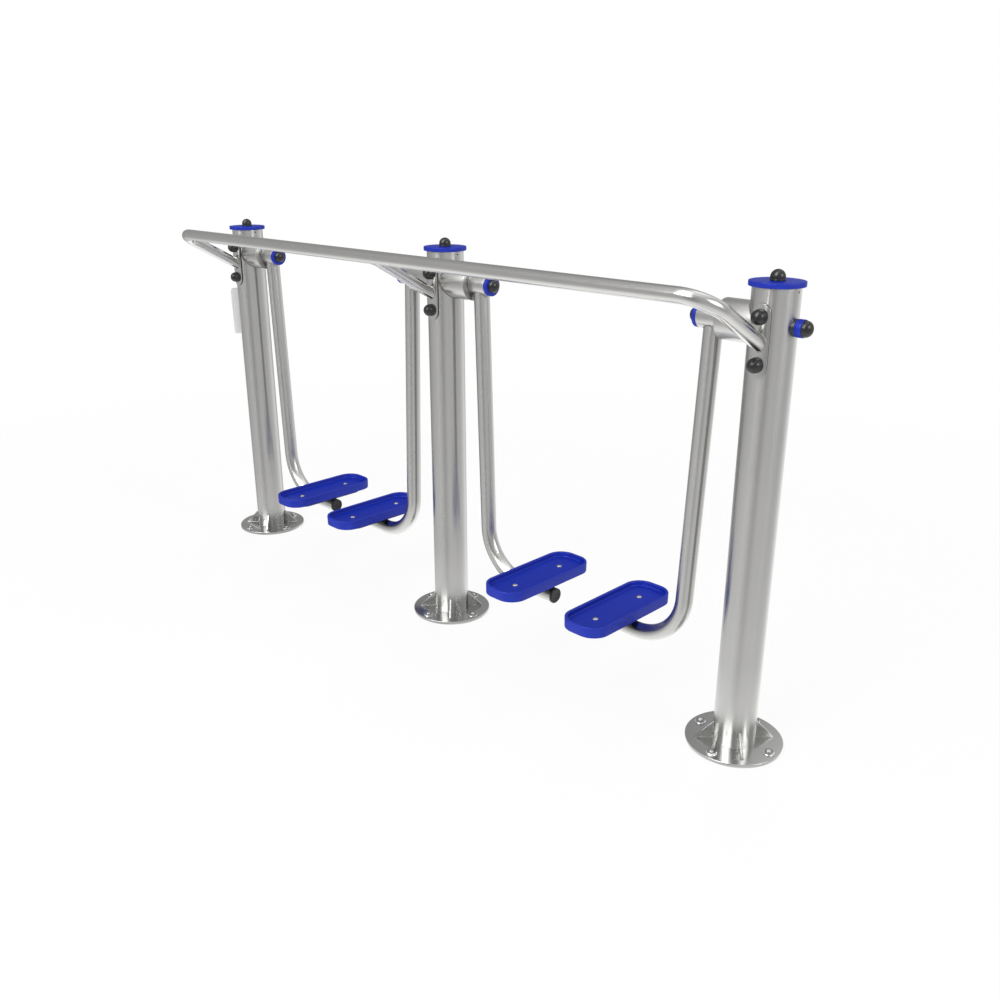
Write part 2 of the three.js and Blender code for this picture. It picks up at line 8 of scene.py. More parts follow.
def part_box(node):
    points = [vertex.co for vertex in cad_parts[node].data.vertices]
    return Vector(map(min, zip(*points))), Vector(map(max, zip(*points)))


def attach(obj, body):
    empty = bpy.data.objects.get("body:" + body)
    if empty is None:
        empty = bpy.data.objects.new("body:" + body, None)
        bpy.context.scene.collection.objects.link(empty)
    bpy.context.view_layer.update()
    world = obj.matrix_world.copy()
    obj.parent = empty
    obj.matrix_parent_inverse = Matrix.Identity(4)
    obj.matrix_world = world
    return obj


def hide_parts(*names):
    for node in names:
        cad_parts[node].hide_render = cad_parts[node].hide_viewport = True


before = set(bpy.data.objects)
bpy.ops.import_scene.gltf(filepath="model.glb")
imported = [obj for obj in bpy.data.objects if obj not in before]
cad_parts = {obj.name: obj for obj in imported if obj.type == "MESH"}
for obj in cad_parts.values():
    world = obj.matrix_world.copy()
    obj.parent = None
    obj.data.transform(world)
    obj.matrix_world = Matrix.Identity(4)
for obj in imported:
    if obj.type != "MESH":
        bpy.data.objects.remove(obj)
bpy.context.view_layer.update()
print("frame loaded with", len(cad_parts), "nodes")


def added(name, data):
    holder = bpy.data.objects.new(name, data)
    bpy.context.scene.collection.objects.link(holder)
    return holder


# camera, at the photograph's viewing angle

camera = {
    "place": (2.29777, -2.0594, 1.53043),
    "turn": 44.974,  # degrees away from looking straight along the swing
    "tilt": 20.086,
    "lens": 34.888,
    "sensor": 36.0,
}


def makeCamera():
    turn, tilt = radians(camera["turn"]), radians(camera["tilt"])
    ahead = Vector((-sin(turn) * cos(tilt), cos(turn) * cos(tilt), -sin(tilt)))
    right = Vector((cos(turn), sin(turn), 0))
    up = right.cross(ahead)
    holder = added("camera", bpy.data.cameras.new("camera"))
    holder.data.lens = camera["lens"]
    holder.data.sensor_width = camera["sensor"]
    holder.data.dof.use_dof = False
    facing = Matrix((right, up, -ahead)).transposed().to_4x4()
    holder.matrix_world = Matrix.Translation(camera["place"]) @ facing
    bpy.context.scene.camera = holder


makeCamera()
bpy.context.scene.view_settings.view_transform = "Standard"
print("camera set")


# shader building: Wire does the maths on values, Board makes every other node

class Wire:
    def __init__(self, board, socket):
        self.board = board
        self.socket = socket

    def maths(self, operation, first, second):
        return self.board.add("ShaderNodeMath", {"operation": operation}, {0: first, 1: second})

    def __add__(self, other):
        return self.maths("ADD", self, other)

    def __radd__(self, other):
        return self.maths("ADD", other, self)

    def __sub__(self, other):
        return self.maths("SUBTRACT", self, other)

    def __rsub__(self, other):
        return self.maths("SUBTRACT", other, self)

    def __mul__(self, other):
        return self.maths("MULTIPLY", self, other)

    def __rmul__(self, other):
        return self.maths("MULTIPLY", other, self)


class Board:
    def __init__(self, owner):
        owner.use_nodes = True
        self.tree = owner.node_tree
        self.tree.nodes.clear()

    def add(self, nodeType, settings=None, values=None, output=0):
        node = self.tree.nodes.new(nodeType)
        for key, value in (settings or {}).items():
            if key == "stops":
                ramp = node.color_ramp
                while len(ramp.elements) < len(value):
                    ramp.elements.new(0.5)
                for stop, (position, grey) in zip(ramp.elements, value):
                    stop.position = position
                    stop.color = (grey, grey, grey, 1)
            else:
                setattr(node, key, value)
        for key, value in (values or {}).items():
            if isinstance(value, Wire):
                self.tree.links.new(value.socket, node.inputs[key])
            else:
                node.inputs[key].default_value = value
        return Wire(self, node.outputs[output]) if node.outputs else None

    def feed(self, shader, sockets):
        for key, value in sockets.items():
            self.tree.links.new(value.socket, shader.socket.node.inputs[key])

    def place(self):
        return self.add("ShaderNodeTexCoord", output="Object")

    def clamped(self, value):
        return self.add("ShaderNodeClamp", {}, {0: value})

    def stretched(self, vector, scale):
        return self.add("ShaderNodeVectorMath", {"operation": "MULTIPLY"}, {0: vector, 1: scale})

    def noise(self, scale, detail=2.0, roughness=0.5, vector=None):
        sockets = {"Vector": vector or self.place(), "Scale": scale, "Detail": detail, "Roughness": roughness}
        return self.add("ShaderNodeTexNoise", {}, sockets)

    def ramp(self, factor, *stops):
        return self.add("ShaderNodeValToRGB", {"stops": stops}, {0: factor})

    def blend(self, factor, first, second):
        settings = {"data_type": "RGBA"}
        return self.add("ShaderNodeMix", settings, {0: factor, 6: first, 7: second}, output=2)

    def bump(self, height, distance, strength=1.0):
        sockets = {"Height": height, "Distance": distance, "Strength": strength}
        return self.add("ShaderNodeBump", {}, sockets)


def tone(red, green, blue):
    # a colour picked on screen, as the shader wants it
    parts = [value / 255 for value in (red, green, blue)]
    linear = [part / 12.92 if part <= 0.04045 else ((part + 0.055) / 1.055) ** 2.4 for part in parts]
    return (*linear, 1)


def surface(name, colour, fixed):
    material = bpy.data.materials.new(name)
    material.diffuse_color = colour
    board = Board(material)
    shader = board.add("ShaderNodeBsdfPrincipled", {}, fixed)
    board.add("ShaderNodeOutputMaterial", {}, {"Surface": shader})
    return material, board, shader


satinSteel = {
    "dark": tone(180, 180, 178),
    "light": tone(192, 191, 189),
    "rough": 0.22,
    "roughSpread": 0.06,
    "brushed": 0.0,
    "grainAcross": 2200.0,
    "grainAlong": 40.0,
    "grainDepth": 0.0000015,
    "grainShare": 0.3,  # of the shading, the rest is cloudy
    "clouds": 5.0,  # per metre
    "scuffs": 45.0,
}
uprightSteel = {  # ground round the tube, so what it mirrors is drawn out up and down
    **satinSteel,
    "rough": 0.24,
    "roughSpread": 0.04,
    "brushed": 0.85,
    "grainAcross": 40.0,
    "grainAlong": 2200.0,
}
brightSteel = {
    **satinSteel,
    "dark": tone(176, 177, 176),
    "light": tone(190, 190, 188),
    "rough": 0.19,
    "roughSpread": 0.04,
    "grainAcross": 700.0,
    "grainAlong": 700.0,
    "grainDepth": 0.000001,
    "clouds": 14.0,
    "scuffs": 126.0,
}


def makeSatinSteel(name, values):
    fixed = {"Metallic": 1.0, "Anisotropic": values["brushed"], "Anisotropic Rotation": 0.25}
    material, board, shader = surface(name, values["light"], fixed)
    grainMap = board.add("ShaderNodeUVMap", {"uv_map": "grain"})
    drawn = board.stretched(grainMap, (values["grainAcross"], values["grainAlong"], 1))
    lines = board.noise(1.0, detail=3.0, vector=drawn)
    scuffs = board.noise(values["scuffs"], detail=4.0, roughness=0.6)
    clouds = board.noise(values["clouds"])
    share = values["grainShare"]
    board.feed(shader, {
        "Base Color": board.blend(clouds * (1 - share) + lines * share, values["dark"], values["light"]),
        "Roughness": (lines + scuffs - 1) * values["roughSpread"] + values["rough"],
        "Normal": board.bump(lines, values["grainDepth"]),
    })
    return material


boltSteel = {
    "light": tone(244, 244, 243),
    "dark": tone(222, 223, 224),
    "metal": 0.8,  # zinc scatters some light
    "rough": 0.1,
    "roughSpread": 0.18,
    "spots": 420.0,
    "spotDepth": 0.00002,
    "stains": 35.0,
}
# a darker copy of the bolt zinc for the nuts alone: painted shade for the dark sides of the nuts
shadedNutSteel = {**boltSteel, "light": tone(168, 168, 167), "dark": tone(138, 138, 139)}


def makeBoltSteel(name, values):
    material, board, shader = surface(name, values["light"], {"Metallic": values["metal"]})
    spots = board.noise(values["spots"], detail=3.0)
    stains = board.noise(values["stains"], detail=3.0)
    board.feed(shader, {
        "Base Color": board.blend(stains, values["dark"], values["light"]),
        "Roughness": spots * values["roughSpread"] + values["rough"],
        "Normal": board.bump(spots, values["spotDepth"]),
    })
    return material


weldSteel = {
    "straw": tone(172, 168, 160),
    "silver": tone(184, 184, 183),
    "blueing": tone(150, 151, 156),
    "rough": 0.26,
    "roughSpread": 0.25,
    "heat": 60.0,
    "heatStops": ((0.38, 0.0), (0.62, 1.0)),
    "soot": 260.0,
    "sootStops": ((0.52, 0.0), (0.75, 1.0)),
    "sootDepth": 0.00005,
}
seamSteel = {
    **weldSteel,
    "straw": tone(132, 128, 122),
    "silver": tone(146, 144, 142),
    "blueing": tone(108, 108, 112),
    "rough": 0.4,
}


def makeWeldSteel(name, values):
    material, board, shader = surface(name, values["silver"], {"Metallic": 1.0})
    heat = board.noise(values["heat"], detail=3.0)
    soot = board.noise(values["soot"], detail=4.0)
    tint = board.blend(board.ramp(heat, *values["heatStops"]), values["straw"], values["silver"])
    board.feed(shader, {
        "Base Color": board.blend(board.ramp(soot, *values["sootStops"]), tint, values["blueing"]),
        "Roughness": soot * values["roughSpread"] + values["rough"],
        "Normal": board.bump(soot, values["sootDepth"]),
    })
    return material


bluePlastic = {
    "base": tone(13, 42, 161),
    "worn": tone(56, 74, 184),
    "deep": tone(9, 33, 152),
    "wear": 0.35,
    "coat": 0.55,
    "coatRough": 0.42,
    "shine": 0.08,
    "rough": 0.42,
    "grain": 1500.0,
    "grainDepth": 0.00006,
}
moulding = {  # the same for every moulded surface, and for the black of the brackets, which is painted shade
    "flow": 90,  # grains to a flow mark
    "scuff": 12,
    "scuffStretch": (1, 0.25, 1),
    "edgeStops": ((0.52, 0.0), (0.62, 1.0)),
    "rubbedStops": ((0.35, 0.2), (0.7, 1.0)),
    "dulledStops": ((0.55, 0.0), (0.8, 1.0)),
    "coatFades": (0.34, 0.62),  # towards the outline
    "flowRough": 0.12,
    "scuffRough": 0.08,
    "bump": 0.6,
}


def makeMoulded(name, values):
    fixed = {"Specular IOR Level": values["shine"], "Coat Roughness": values["coatRough"]}
    material, board, shader = surface(name, values["base"], fixed)
    facing = board.add("ShaderNodeLayerWeight", {}, {"Blend": 0.5}, output="Facing")
    grain = board.noise(values["grain"])
    flow = board.noise(values["grain"] / moulding["flow"], detail=3.0)
    drawn = board.stretched(board.place(), moulding["scuffStretch"])
    scuff = board.noise(values["grain"] / moulding["scuff"], detail=4.0, roughness=0.7, vector=drawn)
    edges = board.add("ShaderNodeNewGeometry", output="Pointiness")
    worn = board.ramp(edges, *moulding["edgeStops"]) * board.ramp(scuff, *moulding["rubbedStops"])
    body = board.blend(flow, values["deep"], values["base"])
    dulled = board.ramp(scuff, *moulding["dulledStops"]) * moulding["scuffRough"]
    near, far = moulding["coatFades"]
    board.feed(shader, {
        "Base Color": board.blend(worn * values["wear"], body, values["worn"]),
        "Roughness": values["rough"] + (flow - 0.5) * moulding["flowRough"] + dulled,
        "Coat Weight": board.ramp(facing, (near, values["coat"]), (far, 0.0)),
        "Normal": board.bump(grain, values["grainDepth"], moulding["bump"]),
    })
    return material


blackPlastic = {
    "base": tone(33, 33, 34),
    "worn": tone(66, 66, 67),
    "deep": tone(26, 26, 27),
    "wear": 0.6,
    "coat": 0.5,
    "coatRough": 0.16,
    "shine": 0.2,
    "rough": 0.36,
    "grain": 1800.0,
    "grainDepth": 0.00004,
}
# rubber of the seal lips, also used as painted shade: the dark band behind the saddle plates and the discs in
# the drain holes
sealRubberAndShade = {
    "base": tone(40, 40, 40),
    "worn": tone(66, 65, 64),
    "deep": tone(28, 28, 28),
    "wear": 0.6,
    "coat": 0.0,
    "coatRough": 0.4,
    "shine": 0.25,
    "rough": 0.62,
    "grain": 1200.0,
    "grainDepth": 0.0001,
}
paleSheet = {
    "base": tone(238, 238, 239),
    "worn": tone(246, 246, 246),
    "deep": tone(228, 228, 230),
    "wear": 0.6,
    "coat": 0.2,
    "coatRough": 0.3,
    "shine": 0.3,
    "rough": 0.5,
    "grain": 700.0,
    "grainDepth": 0.00002,
}

finishes = {
    "tube": makeSatinSteel("satinSteel", satinSteel),
    "upright": makeSatinSteel("uprightSteel", uprightSteel),
    "turned": makeSatinSteel("turnedSteel", {**satinSteel, "rough": 0.3}),
    "plate": makeSatinSteel("brightSteel", brightSteel),
    "bolt": makeBoltSteel("boltSteel", boltSteel),
    "nut": makeBoltSteel("shadedNutSteel", shadedNutSteel),
    "weld": makeWeldSteel("weldSteel", weldSteel),
    "seam": makeWeldSteel("seamSteel", seamSteel),
    "blue": makeMoulded("bluePlastic", bluePlastic),
    "black": makeMoulded("blackPlastic", blackPlastic),
    "plug": makeMoulded("plugPlastic", {**blackPlastic, "coat": 0.35}),
    # black on the steel brackets under the trays: painted shade for the deep shade there
    "trayShade": makeMoulded("trayShadeBlack", blackPlastic),
    "rubberAndShade": makeMoulded("sealRubberAndShade", sealRubberAndShade),
    "sheet": makeMoulded("paleSheet", paleSheet),
}
print("materials made")


# mesh building: every shape is a skin over rings of points

alongX = Matrix.Rotation(pi / 2, 4, "Y")
towardsUser = Matrix.Rotation(pi / 2, 4, "X")  # local Z to -Y
sideways, backward, skyward = Vector((1, 0, 0)), Vector((0, 1, 0)), Vector((0, 0, 1))
fit = {
    "seam": 0.0002,  # from a cut edge to what it meets
    "seat": 0.0003,  # from a seated face to what carries it
}
facets = {  # how many go round each kind of piece
    "flange": 144,
    "post": 120,
    "housing": 96,
    "foot": 90,
    "hub": 80,
    "axle": 72,
    "dome": 64,
    "tube": 48,
    "boss": 40,
    "stud": 36,
    "spacer": 32,
    "drain": 20,
}


def shifted(place, x=0.0, y=0.0, z=0.0):
    return place @ Matrix.Translation((x, y, z))


def circle(count):
    return [index / count * 2 * pi for index in range(count)]


def hoop(centre, side, up, radius, count):
    return [centre + side * (radius * cos(a)) + up * (radius * sin(a)) for a in circle(count)]


def placed(rings, place):
    return [[place @ point for point in ring] for ring in rings]


def walked(points):
    # how far round a closed line of points each of them lies
    marks = [0.0]
    for index, point in enumerate(points):
        marks.append(marks[-1] + (Vector(points[(index + 1) % len(points)]) - Vector(point)).length)
    return marks


def finished(name, shell):
    mesh = bpy.data.meshes.new(name)
    shell.to_mesh(mesh)
    shell.free()
    return added(name, mesh)


def skin(name, rings, place=None, loop=False, sharp=32):
    place = place or Matrix()
    shell = bmesh.new()
    grain = shell.loops.layers.uv.new("grain")
    knots = [[shell.verts.new(place @ Vector(point)) for point in ring] for ring in rings]
    count = len(rings[0])
    around = walked(max(rings, key=lambda ring: (Vector(ring[0]) - Vector(ring[count // 2])).length))
    along = walked([ring[0] for ring in rings])
    for low in range(len(rings) if loop else len(rings) - 1):
        lower, upper = knots[low], knots[(low + 1) % len(rings)]
        for index in range(count):
            after = (index + 1) % count
            face = shell.faces.new((lower[index], lower[after], upper[after], upper[index]))
            marks = ((index, low), (index + 1, low), (index + 1, low + 1), (index, low + 1))
            for corner, (u, v) in zip(face.loops, marks):
                corner[grain].uv = (around[u], along[v])
    if not loop:
        shell.faces.new(list(reversed(knots[0])))
        shell.faces.new(knots[-1])
    bmesh.ops.remove_doubles(shell, verts=shell.verts, dist=1e-7)
    bmesh.ops.recalc_face_normals(shell, faces=shell.faces)
    for face in shell.faces:
        face.smooth = True
    piece = finished(name, shell)
    piece.data.set_sharp_from_angle(angle=radians(sharp))
    return piece


def dress(piece, body, finish, *standsFor):
    piece.data.materials.clear()
    piece.data.materials.append(finishes[finish])
    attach(piece, body)
    if standsFor:
        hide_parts(*standsFor)
    return piece


easing = {
    "flat": radians(178),  # a corner this open stays as it is
    "sideShare": 0.48,  # the most of a side that one corner takes
}


def eased(corners, radius, steps=4, closed=False):
    # rounds the corners of a profile or outline
    corners = [Vector(corner) for corner in corners]
    last = len(corners) - 1
    made = []
    for index, corner in enumerate(corners):
        before = corners[index - 1] - corner
        after = corners[(index + 1) % len(corners)] - corner
        if radius <= 0 or not closed and index in (0, last) or before.angle(after) > easing["flat"]:
            made.append(corner)
            continue
        half = before.angle(after) / 2
        most = easing["sideShare"]
        reach = min(radius / tan(half), before.length * most, after.length * most)
        bow = reach * tan(half)
        middle = corner + (before.normalized() + after.normalized()).normalized() * (bow / sin(half))
        start = corner + before.normalized() * reach - middle
        end = corner + after.normalized() * reach - middle
        for step in range(steps + 1):
            spoke = start.slerp(end, step / steps) if start.angle(end) > 1e-5 else start
            made.append(middle + spoke.normalized() * bow)
    return made


def drum(radius, low, high, ease=0.0, steps=1):
    return eased([(0, low), (radius, low), (radius, high), (0, high)], ease, steps)


def sleeve(inner, outer, low, high, ease):
    return eased([(inner, low), (outer, low), (outer, high), (inner, high)], ease, steps=3, closed=True)


def crown(radius, low, high, steps):
    # quarter of an oval, from the rim up to the axis
    angles = [step / steps * pi / 2 for step in range(1, steps)]
    oval = [Vector((radius * cos(a), low + (high - low) * sin(a))) for a in angles]
    return oval + [Vector((0, high))]


def turnedRings(profile, count):
    angles = circle(count)
    return [[Vector((reach * cos(a), reach * sin(a), height)) for a in angles] for reach, height in profile]


def turned(name, profile, place, count, loop=False):
    return skin(name, turnedRings(profile, count), place, loop)


def bentRoute(corners, radius, steps):
    # points with their directions along straight runs joined by round bends
    corners = [Vector(corner) for corner in corners]
    route = [(corners[0], (corners[1] - corners[0]).normalized())]
    for before, corner, after in zip(corners, corners[1:], corners[2:]):
        first = (corner - before).normalized()
        second = (after - corner).normalized()
        turn = first.angle(second)
        inward = (second - first).normalized()
        onward = (first + second).normalized()
        centre = corner + inward * (radius / cos(turn / 2))
        for step in range(steps + 1):
            angle = (step / steps - 0.5) * turn
            point = centre - inward * radius * cos(angle) + onward * radius * sin(angle)
            route.append((point, onward * cos(angle) + inward * sin(angle)))
    route.append((corners[-1], (corners[-1] - corners[-2]).normalized()))
    return route


def subdivided(route, longest):
    # keeps long straight runs in short rings, so that the grain stays even
    made = [route[0]]
    for (point, ahead), (after, turning) in zip(route, route[1:]):
        pieces = max(1, ceil((after - point).length / longest))
        made += [(point.lerp(after, index / pieces), ahead) for index in range(1, pieces)]
        made.append((after, turning))
    return made


def sweptRings(route, radius, side):
    count = facets["tube"]
    return [hoop(point, side, ahead.cross(side).normalized(), radius, count) for point, ahead in route]


def meet(point, ahead, on, axis, radius, far=False):
    # where a line meets a round bar: far is True for the second face it reaches
    gap = point - on
    gap = gap - axis * gap.dot(axis)
    run = ahead - axis * ahead.dot(axis)
    half = gap.dot(run) / run.length_squared
    inside = half * half - (gap.length_squared - radius * radius) / run.length_squared
    root = sqrt(max(inside, 0.0))
    return point + ahead * (-half + (root if far else -root))


def slab(name, outline, low, high, ease, place):
    # flat plate with eased edges, outline given counter-clockwise
    def inset(amount):
        moved = []
        for index, corner in enumerate(outline):
            before = (corner - outline[index - 1]).normalized()
            after = (outline[(index + 1) % len(outline)] - corner).normalized()
            bisector = Vector((-before.y - after.y, before.x + after.x))
            moved.append(corner + bisector / max(1e-6, 1 + before.dot(after)) * amount)
        return moved

    turns = [share * pi / 2 for share in (0, 1 / 3, 2 / 3, 1)]
    levels = [(a, low + ease * (1 - cos(a))) for a in turns]
    levels += [(a, high - ease * (1 - cos(a))) for a in reversed(turns)]
    rings = [[(*point, level) for point in inset(ease * (1 - sin(a)))] for a, level in levels]
    return skin(name, rings, place)


def oblong(width, length):
    # the corners of an outline, counter-clockwise
    x, y = width / 2, length / 2
    return [Vector(corner) for corner in ((x, -y), (x, y), (-x, y), (-x, -y))]


def roundedOutline(width, length, radius, steps):
    return eased(oblong(width, length), radius, steps, closed=True)


weldBead = {
    "radius": 0.0018,
    "pitch": 0.0032,  # from ripple to ripple
    "ripple": 0.1,
    "taperShare": 0.35,  # size of a bead's open end
    "sides": 8,
    "samples": 5,
}


def weld(name, points, lift, body, closed=True, radius=weldBead["radius"], finish="weld"):
    points = [Vector(point) for point in points]
    spans = list(zip(points, points[1:] + points[:1])) if closed else list(zip(points, points[1:]))
    length = sum((after - point).length for point, after in spans)
    total = max(3, round(length / weldBead["pitch"])) * weldBead["samples"]
    places = []
    passed = 0.0
    spans = iter(spans)
    start, end = next(spans)
    for index in range(total + (0 if closed else 1)):
        target = index / total * length
        while passed + (end - start).length < target - 1e-9:
            passed += (end - start).length
            start, end = next(spans)
        places.append(start.lerp(end, (target - passed) / max((end - start).length, 1e-9)))
    rings = []
    for index, point in enumerate(places):
        if closed:
            ahead = places[(index + 1) % total] - places[index - 1]
        else:
            ahead = places[min(index + 1, total)] - places[max(index - 1, 0)]
        side = ahead.cross(lift).normalized()
        swell = radius * (1 + weldBead["ripple"] * cos(index / weldBead["samples"] * 2 * pi))
        if not closed:
            swell *= min(1.0, weldBead["taperShare"] + min(index, total - index) / weldBead["samples"])
        rings.append(hoop(point, side, side.cross(ahead).normalized(), swell, weldBead["sides"]))
    return dress(skin(name, rings, loop=closed, sharp=60), body, finish)


# the row, read from the frame

def middle(node):
    low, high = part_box(node)
    return (low + high) / 2


def halfSize(node, axis=2):
    low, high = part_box(node)
    return (high[axis] - low[axis]) / 2


sides = ("left", "centre", "right")
postPlace = {side: middle(f"post_{side}").x for side in sides}
postSeat = {side: Matrix.Translation((across, 0, 0)) for side, across in postPlace.items()}
postRadius = halfSize("post_right", axis=0)
flangeTop, postTop = (corner.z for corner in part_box("post_right"))
pivot = middle("bearing_housing_right_outer").z
arms = {  # where each hangs and which way it points along X
    "left_outer": (postPlace["left"], 1),
    "left_inner": (postPlace["centre"], -1),
    "right_inner": (postPlace["centre"], 1),
    "right_outer": (postPlace["right"], -1),
}


def outFrom(across, side):
    return Matrix.Translation((across, 0, pivot)) @ Matrix.Rotation(0 if side > 0 else pi, 4, "Z")


def reachOf(node, across, side):
    # how far out from its post a node starts and ends
    low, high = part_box(node)
    return sorted(((low.x - across) * side, (high.x - across) * side))


# posts

post = {
    "wall": 0.003,
    "rimEase": 0.0008,
    "drainRadius": 0.003,
    "drainDrop": 0.0093,
    "drainRim": 0.001,  # from the drain hole to the rings beside it
    "drillOver": 0.01,
    # the black disc in the drain hole is painted shade for the dark inside of the hole
    "drainShadeSink": 0.0012,
    "drainShadeCrown": 0.0004,
    "rings": (0.2, 0.4, 0.6, 0.8, 0.95),
    "footWeld": 0.0005,
}


def makePost(side):
    inner = postRadius - post["wall"]
    drain, radius = postTop - post["drainDrop"], post["drainRadius"]
    profile = sleeve(inner, postRadius, flangeTop, postTop, post["rimEase"])
    levels = [flangeTop + (postTop - flangeTop) * share for share in post["rings"]]
    levels += [drain + shift * (radius + post["drainRim"]) for shift in (-1, 1)]
    levelled = []
    for point, after in zip(profile, profile[1:] + profile[:1]):
        levelled.append(point)
        if abs(after.y - point.y) > postRadius:  # rings on the long faces, so that the drain cut stays local
            climb = levels if after.y > point.y else reversed(levels)
            levelled += [Vector((point.x, level)) for level in climb]
    place = postSeat[side]
    tube = turned(f"postTube_{side}", levelled, place, facets["post"], loop=True)
    seat = shifted(place, z=drain) @ alongX
    over = post["drillOver"]
    drill = turned(f"drill_{side}", drum(radius, inner - over, postRadius + over), seat, facets["drain"])
    cut = tube.modifiers.new("drain", "BOOLEAN")
    cut.operation = "DIFFERENCE"
    cut.object = drill
    cut.solver = "EXACT"
    settled = bpy.data.meshes.new_from_object(tube.evaluated_get(bpy.context.evaluated_depsgraph_get()))
    tube.modifiers.clear()
    tube.data = settled
    bpy.data.objects.remove(drill)
    dress(tube, "frame", "upright", f"post_{side}")
    # black disc in the drain hole: painted shade for the dark inside of the hole
    rim, bottom = postRadius - post["drainShadeSink"], inner - fit["seam"]
    plug = [(0, bottom), (radius, bottom), (radius, rim), (0, rim + post["drainShadeCrown"])]
    dress(turned(f"drainShadeDisc_{side}", plug, seat, facets["drain"]), "frame", "rubberAndShade")
    centre = Vector((postPlace[side], 0, flangeTop + fit["seat"]))
    foot = hoop(centre, sideways, backward, postRadius + fit["seat"], facets["foot"])
    weld(f"postWeld_{side}", foot, skyward, "frame", radius=post["footWeld"], finish="upright")


# base flanges with their gussets and anchor nuts

base = {
    "edgeEase": 0.0012,
    "gussetReach": 0.107,
    "gussetTop": 0.06,
    "gussetNose": 0.003,
    "gussetThickness": 0.006,
    "gussetEase": 0.0008,
    "gussetSink": 0.0005,
    "gussetWeld": 0.0005,
    "weldInset": 0.0006,
    "weldEnd": 0.001,  # from the end of a bead to the gusset's tip
    "weldLean": (0.3, 1, 0.3),
    "anchorCircle": 0.108,
    "washerRadius": 0.0148,
    "washerThickness": 0.0018,
    "washerEase": 0.0005,
    "nutAcross": 0.0232,
    "nutHeight": 0.0044,
    "nutTurn": 0.35,
    "nutRound": 1.01,  # half widths, as far as its turned corners reach
    "nutFace": 0.72,
    "nutLevels": ((0, 1), (0.06, 0.35), (0.5, 0), (0.97, 0.35), (1, 1)),  # height, share of corners cut
    "studRadius": 0.0065,
    "studTip": 0.001,
    "threads": 4,
    "threadRun": 0.003,
    "threadDepth": 0.0006,
    "threadCrest": 0.0005,
}


def makeNut(name, place):
    apothem, height = base["nutAcross"] / 2, base["nutHeight"]
    rings = []
    for rise, cut in base["nutLevels"]:
        ring = []
        for angle in circle(facets["tube"]):
            full = apothem / cos((angle + pi / 6) % (pi / 3) - pi / 6)
            edge = full - max(full - apothem * base["nutRound"], 0.0) * cut
            ring.append((edge * cos(angle), edge * sin(angle), height * rise))
        rings.append(ring)
    face = apothem * base["nutFace"]
    rings.append([(face * cos(angle), face * sin(angle), height) for angle in circle(facets["tube"])])
    return skin(name, rings, place, sharp=24)


def makeGusset(name, stand):
    inner, reach, top = postRadius + fit["seam"], base["gussetReach"], base["gussetTop"]
    bottom, nose, inset = flangeTop - base["gussetSink"], base["gussetNose"], base["weldInset"]
    outline = [(inner, bottom), (reach, bottom), (reach, flangeTop + nose), (inner + nose, top), (inner, top)]
    half = base["gussetThickness"] / 2
    gusset = slab(f"gusset_{name}", [Vector(corner) for corner in outline], -half, half, base["gussetEase"],
                  stand @ towardsUser)
    dress(gusset, "frame", "tube")
    for letter, shift in (("a", -half - fit["seat"]), ("b", half + fit["seat"])):
        run = [(inner + inset, shift, top - base["weldEnd"]), (inner + inset, shift, flangeTop + inset),
               (reach - base["weldEnd"], shift, flangeTop + fit["seat"])]
        weld(f"gussetWeld_{name}_{letter}", [stand @ Vector(point) for point in run],
             stand.to_3x3() @ Vector(base["weldLean"]), "frame", closed=False, radius=base["gussetWeld"],
             finish="upright")


def makeAnchor(name, seat, turn):
    thick = base["washerThickness"]
    washer = drum(base["washerRadius"], 0, thick, base["washerEase"], steps=3)
    dress(turned(f"washer_{name}", washer, seat, facets["tube"]), "frame", "bolt")
    nut = makeNut(f"nut_{name}", shifted(seat, z=thick) @ Matrix.Rotation(turn, 4, "Z"))
    dress(nut, "frame", "nut")
    radius, crest, run = base["studRadius"], base["threadCrest"], base["threadRun"]
    tip = thick + base["nutHeight"] + base["studTip"]
    stud = [(0, tip - run)]
    for index in range(base["threads"]):
        rise = tip - run + index * (run - 2 * crest) / base["threads"]
        stud += [(radius, rise), (radius - base["threadDepth"], rise + crest)]
    stud += [(radius - 2 * crest, tip), (0, tip)]
    dress(turned(f"stud_{name}", stud, seat, facets["stud"]), "frame", "bolt")


def makeBase(side):
    node = f"base_flange_{side}"
    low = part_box(node)[0]
    place = postSeat[side]
    profile = drum(halfSize(node, axis=0), low.z, flangeTop, base["edgeEase"], steps=4)
    dress(turned(f"baseFlange_{side}", profile, place, facets["flange"]), "frame", "plate", node)
    for quarter in range(4):
        name = f"{side}_{quarter + 1}"
        makeGusset(name, place @ Matrix.Rotation((quarter + 0.5) * pi / 2, 4, "Z"))
        seat = shifted(place @ Matrix.Rotation(quarter * pi / 2, 4, "Z"), base["anchorCircle"], 0, flangeTop)
        makeAnchor(name, seat, base["nutTurn"] + quarter)


# caps and domed covers

cover = {
    "lip": 0.0024,
    "grooveTop": 0.00312,
    "groove": 0.0006,
    "domeSteps": 14,
}


def domeProfile(radius, skirt, height):
    groove = cover["groove"]
    top = radius - groove
    foot = [(0, 0), (radius, 0), (radius, cover["lip"]), (top, cover["grooveTop"]), (top, skirt)]
    return eased(foot, groove, steps=3) + crown(top, skirt, height, cover["domeSteps"])


def makeDome(name, place, radius, skirt, height, body, node):
    dress(turned(name, domeProfile(radius, skirt, height), place, facets["dome"]), body, "black", node)


cap = {
    "ease": 0.0016,
    "spigotWall": 0.004,
    "domeSkirt": 0.008,
}


